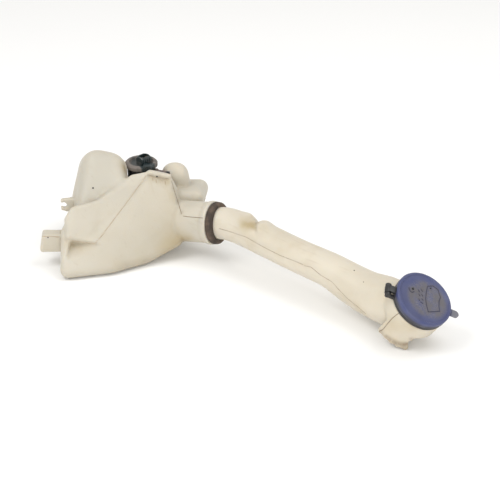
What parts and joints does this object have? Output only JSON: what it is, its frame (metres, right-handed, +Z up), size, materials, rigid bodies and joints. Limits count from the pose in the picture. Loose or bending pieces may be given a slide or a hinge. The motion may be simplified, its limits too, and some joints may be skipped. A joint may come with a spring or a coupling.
{
  "type": "washer fluid reservoir",
  "caption": "Blow-moulded vehicle washer tank with a long filler neck under a hinged cap, and an electric pump standing in a recess at its back.",
  "frame": {"origin": "middle of the footprint, at the level of the flat foot", "axes": "+X along the filler neck from the tank to the cap, +Z up from the foot, +Y to the pump's side"},
  "size_m": [0.481, 0.2048, 0.11],
  "materials": {
    "natural_plastic": "translucent, yellowed, semi-matt",
    "brown_rubber": "dusty, matt",
    "black_rubber": "matt",
    "blue_plastic": "satin, dusty",
    "black_plastic": "satin",
    "dark_plastic": "semi-gloss, dusty",
    "white_plastic": "matt",
    "brass": "bright",
    "steel": "satin",
    "ferrite": "matt",
    "copper": "bright",
    "bronze": "matt",
    "carbon": "matt"
  },
  "bodies": {
    "reservoir": {"tank": "natural_plastic", "neck_seal": "brown_rubber", "filler_neck": "natural_plastic", "cap_ring": "black_plastic", "hinge_pin": "black_plastic", "pump_grommet": "black_rubber", "inlet_strainer": "white_plastic", "inlet_cover": "black_plastic", "pump_housing": "black_plastic", "end_cap": "dark_plastic", "terminals": "brass", "motor_yoke": "steel", "magnets": "ferrite", "lower_bush": "bronze", "upper_bush": "bronze", "brushes": "carbon", "shaft_seal": "black_rubber"},
    "cap": {"cap": "blue_plastic"},
    "rotor": {"armature": "steel", "windings": "copper", "commutator": "copper", "motor_shaft": "steel", "impeller": "white_plastic"}
  },
  "joints": [
    {"name": "cap_hinge", "type": "hinge", "parent": "reservoir", "child": "cap", "pos_m": [0.18859, 0.02576, 0.06016], "axis": [0.5138, -0.7653, -0.3876], "range_deg": [0, 150]},
    {"name": "pump_spin", "type": "hinge", "parent": "reservoir", "child": "rotor", "pos_m": [-0.15883, 0.03227, 0.056], "axis": [0, 0, 1], "continuous": true}
  ]
}
